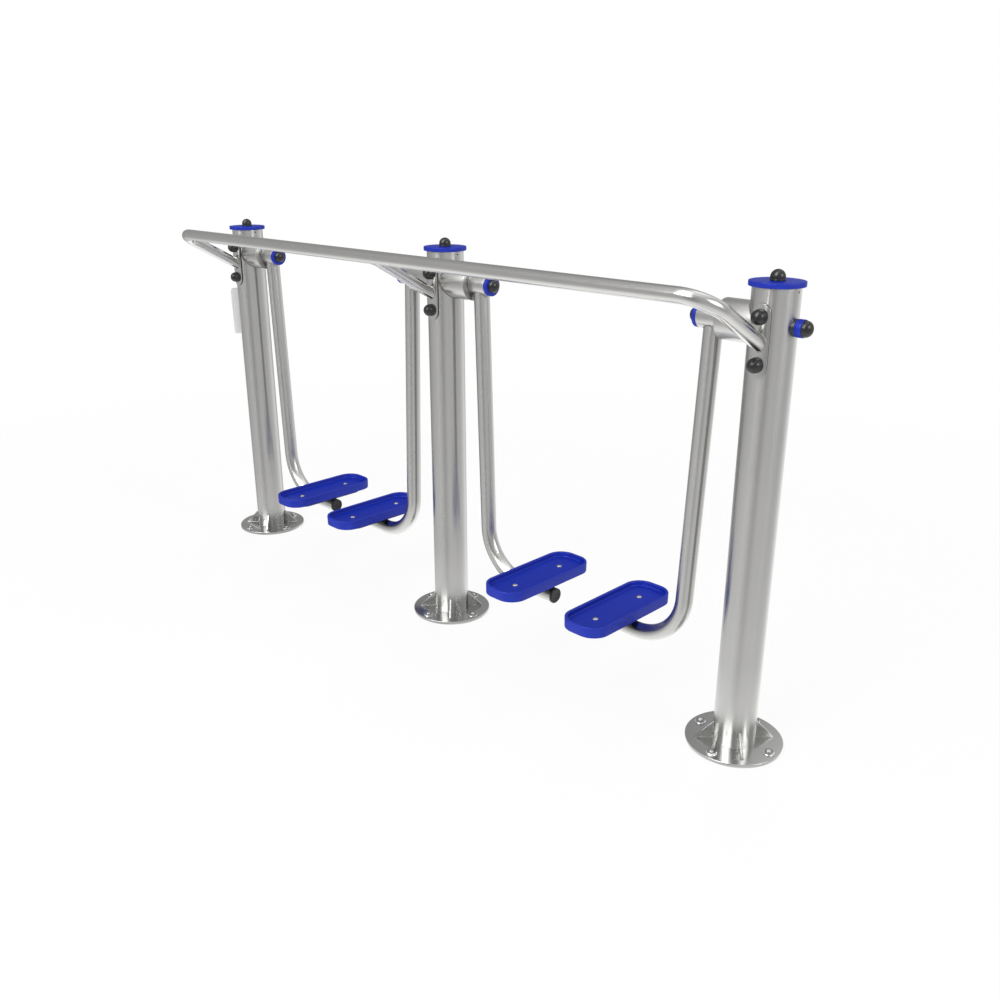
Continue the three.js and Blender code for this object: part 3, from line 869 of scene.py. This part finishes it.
def makeCap(side):
    node, domeNode = f"post_cap_{side}", f"cap_dome_{side}"
    low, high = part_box(node)
    radius, wall = halfSize(node, axis=0), cap["spigotWall"]
    place = postSeat[side]
    bore = postRadius - post["wall"] - fit["seat"]
    corners = [(0, low.z + wall), (bore - wall, low.z + wall), (bore - wall, low.z), (bore, low.z),
               (bore, postTop), (radius, postTop), (radius, high.z), (0, high.z)]
    profile = eased(corners, cap["ease"])
    dress(turned(f"postCap_{side}", profile, place, facets["post"]), "frame", "blue", node)
    makeDome(f"capDome_{side}", shifted(place, z=high.z), halfSize(domeNode, axis=0), cap["domeSkirt"],
             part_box(domeNode)[1].z - high.z, "frame", domeNode)


# saddle plates on the user's side of the posts

saddle = {
    "ease": 0.0009,
    "shadeBand": 0.0032,  # dark band between plate and post: painted shade for the gap there
    "shadeBandInset": 0.0004,
    "columns": 16,
    "endRows": 12,
    "domeSkirt": 0.008,
}


def bentPill(name, across, ends, halfWidth, inner, outer, ease):
    # upright plate with round ends, bent round a post and facing the user
    rows = []
    for centre, start in ((ends[0] + halfWidth, -pi / 2), (ends[1] - halfWidth, 0)):
        for step in range(saddle["endRows"] + 1):
            angle = start + step / saddle["endRows"] * pi / 2
            rows.append((centre + halfWidth * sin(angle), max(halfWidth * cos(angle), 0.0)))
    shares = [step / saddle["columns"] * 2 - 1 for step in range(saddle["columns"] + 1)]
    turns = (pi / 6, pi / 3, pi / 2)
    rings = []
    for height, width in rows:
        edge = min(ease, width)
        marks = [(share * (width - edge), outer) for share in shares]
        marks += [(width - edge + edge * sin(a), outer - ease + ease * cos(a)) for a in turns]
        marks.append((width, inner))
        marks += [(-share * width, inner) for share in shares]
        marks += [(edge - width - edge * sin(a), outer - ease + ease * cos(a)) for a in reversed(turns)]
        bent = [(reach, run / outer) for run, reach in marks]
        rings.append([(across + reach * sin(a), -reach * cos(a), height) for reach, a in bent])
    return skin(name, rings, sharp=40)


def makeSaddle(side):
    node = f"saddle_plate_{side}"
    low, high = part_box(node)
    across = postPlace[side]
    inner, outer = postRadius + fit["seat"], -low.y
    halfWidth, inset, back = halfSize(node, axis=0), saddle["shadeBandInset"], inner + saddle["shadeBand"]
    plate = bentPill(f"saddlePlate_{side}", across, (low.z, high.z), halfWidth, back, outer, saddle["ease"])
    dress(plate, "frame", "tube", node)
    ends = (low.z + inset, high.z - inset)
    # dark band behind the steel plate: painted shade for the gap between plate and post
    shadeBand = bentPill(f"saddleShadeBand_{side}", across, ends, halfWidth - inset, inner, back, inset / 2)
    dress(shadeBand, "frame", "rubberAndShade")
    for level in ("upper", "lower"):
        node = f"plate_dome_{level}_{side}"
        profile = domeProfile(halfSize(node, axis=0), saddle["domeSkirt"], -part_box(node)[0].y - outer)
        flat = Matrix.Translation((across, -outer, middle(node).z)) @ towardsUser
        rings = placed(turnedRings(profile, facets["dome"]), flat)
        for depth, ring in enumerate(rings[:3]):  # the seat and the skirt's foot follow the round plate
            for index, point in enumerate(ring):
                seat = -sqrt((outer + fit["seat"]) ** 2 - (point.x - across) ** 2)
                ring[index] = Vector((point.x, min(point.y, seat) if depth == 2 else seat, point.z))
        dress(skin(f"plateDome_{level}_{side}", rings), "frame", "black", node)


for side in sides:
    makePost(side)
    makeBase(side)
    makeCap(side)
    makeSaddle(side)
print("posts, bases and caps made")


# handrail and its strut

rail = {
    "bend": 0.078,
    "bendSteps": 20,
    "longest": 0.05,  # ring to ring
    "run": 0.238,  # from the foot of a leg forwards to the rail
    "rise": 0.133,
    "strutRadius": 0.0175,
    "backOff": 0.1,  # where the cuts at the posts are looked for from
    "weld": 0.0016,
}


def makeRail():
    low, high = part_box("handrail")
    reach = postPlace["right"]
    radius = high.x - reach
    axisY, axisZ = low.y + radius, high.z - radius
    footY, footZ = axisY + rail["run"], axisZ - rail["rise"]
    corners = [(-reach, footY, footZ), (-reach, axisY, axisZ), (reach, axisY, axisZ), (reach, footY, footZ)]
    plateFace = fit["seam"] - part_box("saddle_plate_right")[0].y
    slope = Vector((0, axisY - footY, axisZ - footZ)).normalized()
    flat = sideways.cross(slope).normalized()
    route = subdivided(bentRoute(corners, rail["bend"], rail["bendSteps"]), rail["longest"])
    rings = sweptRings(route, radius, flat)
    del rings[-2], rings[1]  # the cut ends reach past these

    def cutAtPost(ring, x):
        centre = Vector((x, 0, 0))
        return [meet(point + slope * rail["backOff"], -slope, centre, skyward, plateFace) for point in ring]

    rings[0], rings[-1] = cutAtPost(rings[0], -reach), cutAtPost(rings[-1], reach)
    dress(skin("handrailTube", rings), "frame", "tube", "handrail")
    for name, loop in (("left", rings[0]), ("right", rings[-1])):
        weld(f"railWeld_{name}", loop, slope, "frame", radius=rail["weld"])

    ring = sweptRings([(Vector((0, footY, footZ)), slope)], rail["strutRadius"], flat)[0]
    lower = cutAtPost(ring, 0)
    upper = [meet(point, slope, Vector((0, axisY, axisZ)), sideways, radius + fit["seam"]) for point in ring]
    between = [[low.lerp(high, step / 4) for low, high in zip(lower, upper)] for step in range(5)]
    dress(skin("railStrut", between), "frame", "tube", "handrail_strut")
    for name, loop in (("lower", lower), ("upper", upper)):
        weld(f"strutWeld_{name}", loop, slope, "frame", radius=rail["weld"])


makeRail()
print("handrail made")


# bearings on the posts

bearing = {
    "wall": 0.003,
    "ease": 0.001,
    "coping": 0.002,  # ring points this near to the end are cut to the post
    "weld": 0.0009,
    "weldOut": 0.0006,  # from the housing's face to the middle of the bead
    "weldUp": 0.0008,
    "sealLip": 0.0016,
    "sealEase": 0.0005,
    "runGap": 0.0006,  # round the hub
    "lipWidth": 0.0007,
    "axleWasherEase": 0.0012,
    "axleWasherDepth": 0.02,
    "collarEase": 0.0014,
    "domeSkirt": 0.004,
}


def coped(rings, before, radius):
    # rings round X, with what lies before a plane moved onto a post of that radius
    for ring in rings:
        for index, point in enumerate(ring):
            if point.x < before:
                ring[index] = Vector((sqrt(radius ** 2 - point.y ** 2), point.y, point.z))
    return rings


def makeHousing(name):
    node, sealNode = f"bearing_housing_{name}", f"bearing_seal_{name}"
    radius, hub = halfSize(node), halfSize(f"hub_cap_{name}")
    start, end = reachOf(node, *arms[name])
    inner = radius - bearing["wall"]
    place = outFrom(*arms[name])
    rings = placed(turnedRings(sleeve(inner, radius, start, end, bearing["ease"]), facets["housing"]), alongX)
    rings = coped(rings, start + bearing["coping"], postRadius + fit["seam"])
    dress(skin(f"housing_{name}", rings, place, loop=True), "frame", "turned", node)
    ring = hoop(Vector(), backward, skyward, radius + bearing["weldOut"], facets["post"])
    loop = [place @ point for point in coped([ring], 1, postRadius + bearing["weldUp"])[0]]
    weld(f"housingWeld_{name}", loop, sideways, "frame", radius=bearing["weld"], finish="seam")

    start, end = reachOf(sealNode, *arms[name])
    outer, inner, lip = inner - fit["seam"], hub + bearing["runGap"], hub + bearing["lipWidth"]
    corners = [(inner, start), (outer, start), (outer, end), (lip, end), (lip, end - bearing["sealLip"]),
               (inner, end - bearing["sealLip"] / 2)]
    profile = eased(corners, bearing["sealEase"], steps=2, closed=True)
    seal = turned(f"seal_{name}", profile, place @ alongX, facets["housing"], loop=True)
    dress(seal, "frame", "turned", sealNode)
    seal.data.materials.append(finishes["rubberAndShade"])
    for face in seal.data.polygons:
        if (place.inverted() @ face.center).yz.length < lip:
            face.material_index = 1  # rubber lip that runs on the hub


def makeOuterAxle(side):
    out = (postPlace[side], 1 if side == "right" else -1)
    place = outFrom(*out)
    collar, washer, dome = (f"axle_{part}_{side}" for part in ("collar", "washer", "dome"))
    start, end = reachOf(collar, *out)
    profile = drum(halfSize(collar), start, end, bearing["collarEase"], steps=4)
    dress(turned(f"axleCollar_{side}", profile, place @ alongX, facets["axle"]), "frame", "blue", collar)
    depth = bearing["axleWasherDepth"]
    profile = drum(halfSize(washer), start - depth, start, bearing["axleWasherEase"], steps=3)
    rings = placed(turnedRings(profile, facets["axle"]), alongX)
    rings = coped(rings, start - depth / 2, postRadius + fit["seat"])
    dress(skin(f"axleWasher_{side}", rings, place), "frame", "black", washer)
    makeDome(f"axleDome_{side}", shifted(place, end) @ alongX, halfSize(dome), bearing["domeSkirt"],
             reachOf(dome, *out)[1] - end, "frame", dome)


# swing arms

arm = {
    "hubEase": 0.0012,
    "capDepth": 0.0115,
    "tubeRadius": 0.02415,
    "axisReach": 0.1615,
    "lean": 0.0355,
    "bend": 0.155,
    "bendSteps": 26,
    "longest": 0.06,
    "footHeight": 0.211,
    "footReach": 0.481,
    "weld": 0.0014,
    "capEase": 0.0016,
    "plugEase": 0.0006,
    "plugEdge": (0.0015, 0.0018),  # bevel, along and across
    "plugDish": (0.62, 0.58),  # shares of the radius
    "plugDishDepth": 0.001,
    "bracketEase": 0.0012,
    "bracketCorner": 0.026,
    "bracketWidth": 0.116,
    "bracketLength": 0.27,
    "bracketThickness": 0.009,
    "bracketGap": 0.0001,
    "beadInset": 0.004,
    "beadOut": 0.001,
    "beadDrop": 0.0008,
}


def makeHub(name, place, body):
    hub, disc, dome = (f"{part}_{name}" for part in ("swing_arm", "hub_cap", "hub_dome"))
    radius = halfSize(disc)
    start, capEnd = reachOf(hub, *arms[name])[0], reachOf(disc, *arms[name])[1]
    end = capEnd - arm["capDepth"]
    profile = drum(radius, start, end, arm["hubEase"], steps=4)
    dress(turned(f"hub_{name}", profile, place @ alongX, facets["hub"]), body, "turned", hub)
    profile = drum(radius, end, capEnd, arm["capEase"], steps=5)
    dress(turned(f"hubCap_{name}", profile, place @ alongX, facets["hub"]), body, "blue", disc)
    makeDome(f"hubDome_{name}", shifted(place, capEnd) @ alongX, halfSize(dome), bearing["domeSkirt"],
             reachOf(dome, *arms[name])[1] - capEnd, body, dome)


def makeLeg(name, place, body, drop):
    bottom, edge, radius = -drop, arm["footReach"], arm["tubeRadius"]
    start = arm["axisReach"]
    corners = [(start, 0, 0), (start + arm["lean"] * drop, 0, bottom), (edge, 0, bottom)]
    route = subdivided(bentRoute(corners, arm["bend"], arm["bendSteps"]), arm["longest"])
    rings = sweptRings(route, radius, backward)
    hub = halfSize(f"hub_cap_{name}") + fit["seam"]
    rings[0] = [meet(point, route[0][1], Vector(), sideways, hub, far=True) for point in rings[0]]
    dress(skin(f"leg_{name}", rings, place), body, "upright")
    weld(f"legWeld_{name}", placed(rings[:1], place)[0], skyward, body, radius=arm["weld"], finish="seam")

    node = f"arm_plug_{name}"
    end = reachOf(node, *arms[name])[1]
    (back, inward), (brim, dish) = arm["plugEdge"], arm["plugDish"]
    floor = end - arm["plugDishDepth"]
    corners = [(0, edge), (radius, edge), (radius, end - back), (radius - inward, end), (radius * brim, end),
               (radius * dish, floor), (0, floor)]
    foot = shifted(place, z=bottom) @ alongX
    profile = eased(corners, arm["plugEase"], steps=3)
    dress(turned(f"plug_{name}", profile, foot, facets["dome"]), body, "plug", node)


def makeBracket(name, place, body, drop):
    node = f"pedal_{name}"
    width, thick = arm["bracketWidth"], arm["bracketThickness"]
    centre = place.inverted() @ middle(node)
    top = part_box(node)[0].z - pivot
    under = top - thick
    outline = roundedOutline(width, arm["bracketLength"], arm["bracketCorner"], steps=10)
    bracket = slab(f"bracket_{name}", outline, under, top - arm["bracketGap"], arm["bracketEase"],
                   shifted(place, centre.x, centre.y))
    # the bracket is black as painted shade for the deep shade under the tray
    dress(bracket, body, "trayShade")
    grip = sqrt(arm["tubeRadius"] ** 2 - (under + drop) ** 2) + arm["beadOut"]
    half = width / 2 - arm["beadInset"]
    ends = (centre.x - half, min(centre.x + half, arm["footReach"]))
    for letter, y in (("a", -grip), ("b", grip)):
        points = [place @ Vector((x, y, under - arm["beadDrop"])) for x in ends]
        weld(f"bracketWeld_{name}_{letter}", points, skyward, body, closed=False)


def makeArm(name):
    body, place, drop = f"arm_{name}", outFrom(*arms[name]), pivot - arm["footHeight"]
    makeHub(name, place, body)
    makeLeg(name, place, body, drop)
    makeBracket(name, place, body, drop)


# foot trays

tray = {
    "corner": 0.0555,
    "tightest": 0.004,  # corner of the innermost ring
    "foot": 0.0012,
    "footRise": 0.0004,
    "rim": 0.0094,
    "rimRound": 0.0034,
    "deckDrop": 0.0151,
    "draft": 0.0016,
    "deckRun": 0.02,
    "skirt": 0.005,
    "deck": 0.005,
    "hollow": 0.03,  # inset of the innermost ring under the deck
    "rib": 0.005,
    "ribSink": 0.0005,
    "ribOverlap": 0.001,
    "ribEase": 0.0006,
    "boss": 0.013,
    "screwReach": 0.102,
    "screwRadius": 0.007,
    "screwHeight": 0.0036,
    "screwFlange": ((1.25, 0.0), (1.25, 0.0008), (1.0, 0.001), (1.0, 0.0014)),  # share of the radius, height
    "screwEase": 0.0003,
    "cornerSteps": 14,
}


def shellProfile(bottom, top, deck, roof):
    # insets and heights from the hollow underside, over the rim, to the deck
    inner = tray["rim"] + tray["draft"]
    section = [(0, bottom), (0, top), (tray["rim"], top), (inner, deck), (inner + tray["deckRun"], deck)]
    under = [(tray["hollow"], roof), (tray["skirt"], roof), (tray["skirt"], bottom), (tray["foot"], bottom),
             (tray["footRise"], bottom + tray["footRise"])]
    return under + eased(section, tray["rimRound"], steps=5)[1:-1]


def makeTray(name):
    body, node = f"arm_{name}", f"pedal_{name}"
    low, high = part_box(node)
    width, length = high.x - low.x, high.y - low.y
    centre = middle(node)
    place = Matrix.Translation((centre.x, centre.y, 0))
    deck = high.z - tray["deckDrop"]
    roof = deck - tray["deck"]
    rings = []
    for inset, height in shellProfile(low.z, high.z, deck, roof):
        corner = max(tray["corner"] - inset, tray["tightest"])
        outline = roundedOutline(width - inset * 2, length - inset * 2, corner, tray["cornerSteps"])
        rings.append([(point.x, point.y, height) for point in outline])
    dress(skin(f"tray_{name}", rings, place, sharp=38), body, "blue", node)

    bottom, top = low.z + fit["seam"], roof + tray["ribSink"]
    ease, reach = tray["ribEase"], tray["screwReach"]
    lengthwise = oblong(tray["rib"], length - 2 * (tray["skirt"] + tray["ribOverlap"]))
    crosswise = oblong(width - 2 * (tray["skirt"] - tray["ribOverlap"]), tray["rib"])
    dress(slab(f"spineRib_{name}", lengthwise, bottom, top, ease, place), body, "blue")
    for index, shift in enumerate((-reach, 0, reach)):
        rib = slab(f"crossRib_{name}_{index + 1}", crosswise, bottom, top, ease, shifted(place, y=shift))
        dress(rib, body, "blue")
    boss = drum(tray["boss"], bottom, top, ease, steps=2)
    radius, flange = tray["screwRadius"], tray["screwFlange"]
    head = eased([(0, 0)] + [(radius * share, rise) for share, rise in flange], tray["screwEase"], steps=2)
    head += crown(radius, flange[-1][1], tray["screwHeight"], steps=10)
    for index, shift in enumerate((-reach, reach)):
        seat = shifted(place, y=shift)
        dress(turned(f"boss_{name}_{index + 1}", boss, seat, facets["boss"]), body, "blue")
        screw = turned(f"screw_{name}_{index + 1}", head, shifted(seat, z=deck), facets["tube"])
        dress(screw, body, "tube")


for name in arms:
    makeHousing(name)
    makeArm(name)
    makeTray(name)
for side in ("left", "right"):
    makeOuterAxle(side)
for side in sides:
    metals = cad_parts[f"axle_{side}"].data.materials
    metals.clear()
    metals.append(finishes["bolt"])
print("bearings, swing arms and trays made")


# bare notice plate on the outer side of the left post

notice = {
    "width": 0.12,
    "height": 0.18,
    "thickness": 0.002,
    "corner": 0.012,
    "bottom": 0.8195,
    "standOff": 0.006,
    "screwRise": 0.07,
    "screwRadius": 0.0045,
    "screwTop": (0.0045, 0.005),  # height at the edge and in the middle
    "screwEase": 0.001,
    "ease": 0.0005,
    "spacerRadius": 0.008,
    "spacerSink": 0.001,
    "spacerEase": 0.0004,
}


def makeNotice():
    off, front, radius = notice["standOff"], notice["thickness"], notice["screwRadius"]
    rise = notice["bottom"] + notice["height"] / 2
    place = Matrix.Translation((postPlace["left"] - postRadius - off, 0, rise))
    facing = Matrix(((0, 0, -1, 0), (1, 0, 0, 0), (0, 1, 0, 0), (0, 0, 0, 1)))  # local Z to -X
    outline = roundedOutline(notice["width"], notice["height"], notice["corner"], steps=8)
    dress(slab("noticePlate", outline, 0, front, notice["ease"], place @ facing), "frame", "sheet")
    spacer = drum(notice["spacerRadius"], -off - notice["spacerSink"], 0, notice["spacerEase"], steps=2)
    edge, top = notice["screwTop"]
    head = eased([(0, front), (radius, front), (radius, edge), (0, top)], notice["screwEase"], steps=3)
    for index, rise in enumerate((-notice["screwRise"], notice["screwRise"])):
        seat = shifted(place, z=rise) @ facing
        dress(turned(f"noticeSpacer_{index + 1}", spacer, seat, facets["spacer"]), "frame", "black")
        dress(turned(f"noticeScrew_{index + 1}", head, seat, facets["spacer"]), "frame", "bolt")


makeNotice()
print("notice plate made")


# floor, light and backdrop

studio = {
    "floorSize": 60.0,
    "floorWhite": 0.9,
    "floorShare": 0.12,  # how much of the floor's own shading shows against plain white
    "floorFade": (2.0, 4.2),  # and from where to where it fades out
    "skyForObject": 0.7,
    "cardGain": 1.8,
    "cardFoot": -0.56,  # where the card walls start, and how fast they come in above
    "cardFade": 3.8,
    "cards": (  # bright and dim card walls round the object, from -X anticlockwise
        (0, 0.38), (0.06, 0.48), (0.13, 0.56), (0.21, 0.55), (0.255, 0.43), (0.29, 0.33), (0.32, 0.36),
        (0.36, 0.53), (0.4, 0.57), (0.47, 0.53), (0.53, 0.47), (0.59, 0.5), (0.65, 0.62), (0.73, 0.9),
        (0.78, 0.8), (0.82, 0.45), (0.885, 0.3), (0.93, 0.38), (1, 0.38),
    ),
    "ground": (  # the pale floor all round, lower down
        (0, 0.72), (0.1, 0.68), (0.2, 0.62), (0.3, 0.54), (0.45, 0.56), (0.57, 0.57), (0.66, 0.66),
        (0.76, 0.84), (0.86, 0.82), (1, 0.72),
    ),
    "heights": (  # brightness of both from straight down to straight up
        (0, 0.74), (0.15, 0.66), (0.2, 0.6), (0.25, 0.52), (0.3, 0.45), (0.37, 0.41), (0.5, 0.375),
        (0.65, 0.36), (0.8, 0.41), (0.88, 0.46), (0.93, 0.7), (1, 0.75),
    ),
    "softboxAround": ((0.155, 0), (0.18, 1), (0.275, 1), (0.305, 0)),
    "softboxUp": ((0.62, 0), (0.72, 0.8), (0.8, 1), (0.96, 1), (1, 0.4)),
    "softboxGain": 7.5,
    "panelsAround": (  # low on the right, mirrored by the feet of the posts and the rail's bend
        (0.46, 0), (0.478, 1), (0.508, 1), (0.525, 0.6), (0.545, 0.25), (0.57, 0.2), (0.6, 0),
    ),
    "panelsUp": ((0.61, 0), (0.67, 0.8), (0.72, 1), (0.79, 1), (0.84, 0)),
    "panelsGain": 4.0,
    "lamps": (
        # name, place, aimed at, size, watts, seen in the steel
        ("key", (0.0, -4.2, 4.5), (0.0, 0.0, 0.7), 3.2, 80.0, False),
        ("front", (1.6, -5.6, 2.1), (0.0, 0.0, 0.6), 3.0, 110.0, False),
        ("side", (5.9, 0.9, 3.1), (0.8, 0.0, 0.9), 2.4, 62.0, True),
        ("back", (-2.5, 4.8, 4.4), (0.0, 0.0, 0.8), 3.2, 65.0, False),
    ),
}


def makeWorld():
    world = bpy.data.worlds.new("studio")
    bpy.context.scene.world = world
    board = Board(world)
    seen = board.add("ShaderNodeLightPath", output="Is Camera Ray")
    glossy = board.add("ShaderNodeLightPath", output="Is Glossy Ray")
    through = board.add("ShaderNodeLightPath", output="Is Transmission Ray")
    direction = board.add("ShaderNodeTexCoord", output="Generated")
    around = board.add("ShaderNodeTexGradient", {"gradient_type": "RADIAL"}, {0: direction}, output="Fac")
    rise = board.add("ShaderNodeSeparateXYZ", {}, {0: direction}, output="Z")
    up = rise * 0.5 + 0.5  # 0 straight down, 1 straight up

    def bright(name):
        spread = board.ramp(up, *studio[name + "Up"]) * studio[name + "Gain"]
        return board.ramp(around, *studio[name + "Around"]) * spread

    height = board.ramp(up, *studio["heights"]) * studio["cardGain"]
    cards = board.ramp(around, *studio["cards"]) * studio["cardGain"]
    ground = board.ramp(around, *studio["ground"]) * studio["cardGain"]
    fade = board.clamped((rise - studio["cardFoot"]) * studio["cardFade"])
    room = height * (ground + (cards - ground) * fade) + bright("softbox") + bright("panels")
    level = board.clamped(seen + through) + glossy * room
    level = level + (1 - board.clamped(seen + through + glossy)) * studio["skyForObject"]
    sky = board.add("ShaderNodeBackground", {}, {"Color": (1, 1, 1, 1), "Strength": level})
    board.add("ShaderNodeOutputWorld", {}, {"Surface": sky})


def makeFloor():
    shell = bmesh.new()
    bmesh.ops.create_grid(shell, x_segments=8, y_segments=8, size=studio["floorSize"] / 2)
    floor = finished("floor", shell)
    material = bpy.data.materials.new("floorPaint")
    board = Board(material)
    white = studio["floorWhite"]
    matt = board.add("ShaderNodeBsdfDiffuse", {}, {"Color": (white, white, white, 1)})
    glow = board.add("ShaderNodeEmission", {}, {"Color": (1, 1, 1, 1), "Strength": 1.0})
    seen = board.add("ShaderNodeLightPath", output="Is Camera Ray")
    distance = board.add("ShaderNodeVectorMath", {"operation": "LENGTH"}, {0: board.place()}, output="Value")
    near, far = studio["floorFade"]
    metre = 0.1  # on the ramp, which ends at 1
    shaded = board.ramp(distance * metre, (near * metre, studio["floorShare"]), (far * metre, 0.0))
    both = board.add("ShaderNodeMixShader", {}, {0: seen * (1 - shaded), 1: matt, 2: glow})
    board.add("ShaderNodeOutputMaterial", {}, {"Surface": both})
    floor.data.materials.append(material)
    floor.visible_glossy = False  # steel mirrors the card walls instead


def makeLamps():
    for name, place, aim, size, watts, mirrored in studio["lamps"]:
        lamp = bpy.data.lights.new(name, "AREA")
        lamp.shape = "SQUARE"
        lamp.size = size
        lamp.energy = watts
        holder = added(name, lamp)
        holder.visible_glossy = mirrored
        holder.location = place
        holder.rotation_euler = (Vector(aim) - Vector(place)).to_track_quat("-Z", "Y").to_euler()


makeWorld()
makeFloor()
makeLamps()
print("studio made")
